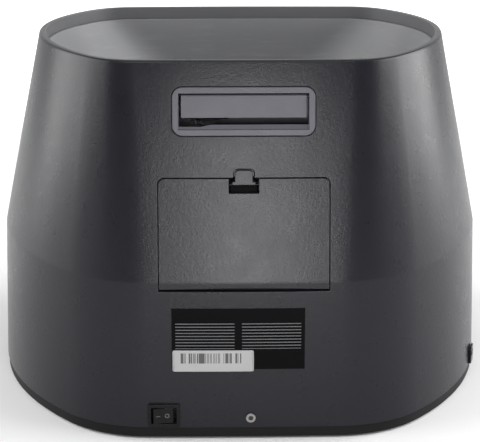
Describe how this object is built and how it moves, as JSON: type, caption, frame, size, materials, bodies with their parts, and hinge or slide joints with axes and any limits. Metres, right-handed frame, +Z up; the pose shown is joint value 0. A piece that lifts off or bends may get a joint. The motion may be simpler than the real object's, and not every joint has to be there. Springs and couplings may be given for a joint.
{
  "type": "coin sorting machine",
  "caption": "Table-top coin sorting machine with an open hopper, a spinning feed disc, a sorting rail over pull-out drawers, a rear access door and a fold-out grip",
  "frame": {"origin": "on the table, under the middle of the machine", "axes": "+Z up; +Y towards the rear with the door and grip; drawers and keys face -Y; +X to the left as seen from the rear"},
  "size_m": [0.3596, 0.3323, 0.258],
  "materials": {
    "housing_plastic": "fine-grained moulded charcoal plastic",
    "base_plastic": "dark moulded plastic",
    "handle_plastic": "smooth satin grey plastic",
    "bowl_plastic": "satin grey plastic, worn by coins",
    "drawer_plastic": "satin dark grey plastic",
    "panel_plastic": "satin silver-grey plastic",
    "key_plastic": "soft black keys",
    "window_plastic": "clear smoked window",
    "display_face": "display glass",
    "switch_plastic": "glossy black plastic",
    "label_black": "glossy printed label",
    "sticker_white": "matt white sticker",
    "disc_metal": "turned aluminium",
    "steel": "plain steel",
    "screw_steel": "bright plated steel",
    "gear_plastic": "natural acetal",
    "belt_rubber": "black belt rubber",
    "foot_rubber": "soft black rubber",
    "board_green": "green circuit board"
  },
  "bodies": {
    "base": {"housing": "housing_plastic", "base_pan": "base_plastic", "drawer_rack": "base_plastic", "handle_cup": "handle_plastic", "hopper_bowl": "bowl_plastic", "mech_deck": "bowl_plastic", "exit_ramp": "bowl_plastic", "control_panel": "panel_plastic", "display_window": "window_plastic", "display_module": "display_face", "switch_body": "switch_plastic", "cord_gland": "switch_plastic", "rating_label": "label_black", "bar_sticker": "sticker_white", "spindle_bearings": "steel", "handle_pin": "steel", "drive_motor": "steel", "motor_bracket": "steel", "deck_posts": "steel", "idler_bracket": "steel", "belt_motor": "steel", "belt_motor_bracket": "steel", "sort_rail": "steel", "power_supply": "steel", "base_screws": "screw_steel", "rear_screw": "screw_steel", "deck_screws": "screw_steel", "bearing_housing": "gear_plastic", "coin_belt": "belt_rubber", "feet": "foot_rubber", "main_board": "board_green", "key_board": "board_green", "sensor_strip": "board_green"},
    "feed_rotor": {"feed_disc": "disc_metal", "disc_cap": "disc_metal", "disc_spindle": "steel", "disc_gear": "gear_plastic"},
    "pinion": {"motor_pinion": "gear_plastic"},
    "belt_driver": {"drive_pulley": "gear_plastic"},
    "belt_idler": {"idler_pulley": "gear_plastic"},
    "rear_door": {"rear_door": "housing_plastic", "door_pins": "steel"},
    "door_latch": {"door_latch": "housing_plastic"},
    "handle_grip": {"handle_grip": "handle_plastic"},
    "rocker": {"switch_rocker": "switch_plastic"},
    "drawer_1": {"coin_drawer_1": "drawer_plastic"},
    "key_1": {"key_1": "key_plastic"},
    "drawer_2": {"coin_drawer_2": "drawer_plastic"},
    "key_2": {"key_2": "key_plastic"},
    "drawer_3": {"coin_drawer_3": "drawer_plastic"},
    "key_3": {"key_3": "key_plastic"},
    "drawer_4": {"coin_drawer_4": "drawer_plastic"},
    "key_4": {"key_4": "key_plastic"},
    "drawer_5": {"coin_drawer_5": "drawer_plastic"},
    "key_5": {"key_5": "key_plastic"},
    "drawer_6": {"coin_drawer_6": "drawer_plastic"},
    "key_6": {"key_6": "key_plastic"}
  },
  "joints": [
    {"name": "disc_spin", "type": "hinge", "parent": "base", "child": "feed_rotor", "pos_m": [0, 0.022, 0.165], "axis": [0, 0, 1], "continuous": true},
    {"name": "pinion_spin", "type": "hinge", "parent": "base", "child": "pinion", "pos_m": [0, 0.07262, 0.122], "axis": [0, 0, 1], "continuous": true},
    {"name": "belt_spin", "type": "hinge", "parent": "base", "child": "belt_driver", "pos_m": [0.112, -0.112, 0.1239], "axis": [0, 1, 0], "continuous": true},
    {"name": "idler_spin", "type": "hinge", "parent": "base", "child": "belt_idler", "pos_m": [-0.112, -0.112, 0.1239], "axis": [0, 1, 0], "continuous": true},
    {"name": "door_hinge", "type": "hinge", "parent": "base", "child": "rear_door", "pos_m": [0, 0.15949, 0.1089], "axis": [-1, 0, 0], "range_deg": [0, 105]},
    {"name": "latch_slide", "type": "slide", "parent": "rear_door", "child": "door_latch", "axis": [0, 0.1702, -0.9854], "range_m": [0, 0.004], "stiffness_N_per_m": 250, "springref_m": -0.001},
    {"name": "grip_hinge", "type": "hinge", "parent": "base", "child": "handle_grip", "pos_m": [0, 0.13853, 0.2344], "axis": [1, 0, 0], "range_deg": [0, 80]},
    {"name": "rocker_tilt", "type": "hinge", "parent": "base", "child": "rocker", "pos_m": [0.0548, 0.1617, 0.01775], "axis": [0, 0, -1], "range_deg": [0, 16]},
    {"name": "drawer_slide_1", "type": "slide", "parent": "base", "child": "drawer_1", "axis": [0, -1, 0], "range_m": [0, 0.125]},
    {"name": "drawer_slide_2", "type": "slide", "parent": "base", "child": "drawer_2", "axis": [0, -1, 0], "range_m": [0, 0.125]},
    {"name": "drawer_slide_3", "type": "slide", "parent": "base", "child": "drawer_3", "axis": [0, -1, 0], "range_m": [0, 0.125]},
    {"name": "drawer_slide_4", "type": "slide", "parent": "base", "child": "drawer_4", "axis": [0, -1, 0], "range_m": [0, 0.125]},
    {"name": "drawer_slide_5", "type": "slide", "parent": "base", "child": "drawer_5", "axis": [0, -1, 0], "range_m": [0, 0.125]},
    {"name": "drawer_slide_6", "type": "slide", "parent": "base", "child": "drawer_6", "axis": [0, -1, 0], "range_m": [0, 0.125]},
    {"name": "key_press_1", "type": "slide", "parent": "base", "child": "key_1", "axis": [0, 0.8637, -0.504], "range_m": [0, 0.0012], "stiffness_N_per_m": 250, "springref_m": -0.001},
    {"name": "key_press_2", "type": "slide", "parent": "base", "child": "key_2", "axis": [0, 0.8637, -0.504], "range_m": [0, 0.0012], "stiffness_N_per_m": 250, "springref_m": -0.001},
    {"name": "key_press_3", "type": "slide", "parent": "base", "child": "key_3", "axis": [0, 0.8637, -0.504], "range_m": [0, 0.0012], "stiffness_N_per_m": 250, "springref_m": -0.001},
    {"name": "key_press_4", "type": "slide", "parent": "base", "child": "key_4", "axis": [0, 0.8637, -0.504], "range_m": [0, 0.0012], "stiffness_N_per_m": 250, "springref_m": -0.001},
    {"name": "key_press_5", "type": "slide", "parent": "base", "child": "key_5", "axis": [0, 0.8637, -0.504], "range_m": [0, 0.0012], "stiffness_N_per_m": 250, "springref_m": -0.001},
    {"name": "key_press_6", "type": "slide", "parent": "base", "child": "key_6", "axis": [0, 0.8637, -0.504], "range_m": [0, 0.0012], "stiffness_N_per_m": 250, "springref_m": -0.001}
  ],
  "couplings": [
    {"joint": "pinion_spin", "follows": "disc_spin", "ratio": -3.5},
    {"joint": "idler_spin", "follows": "belt_spin", "ratio": 1}
  ]
}
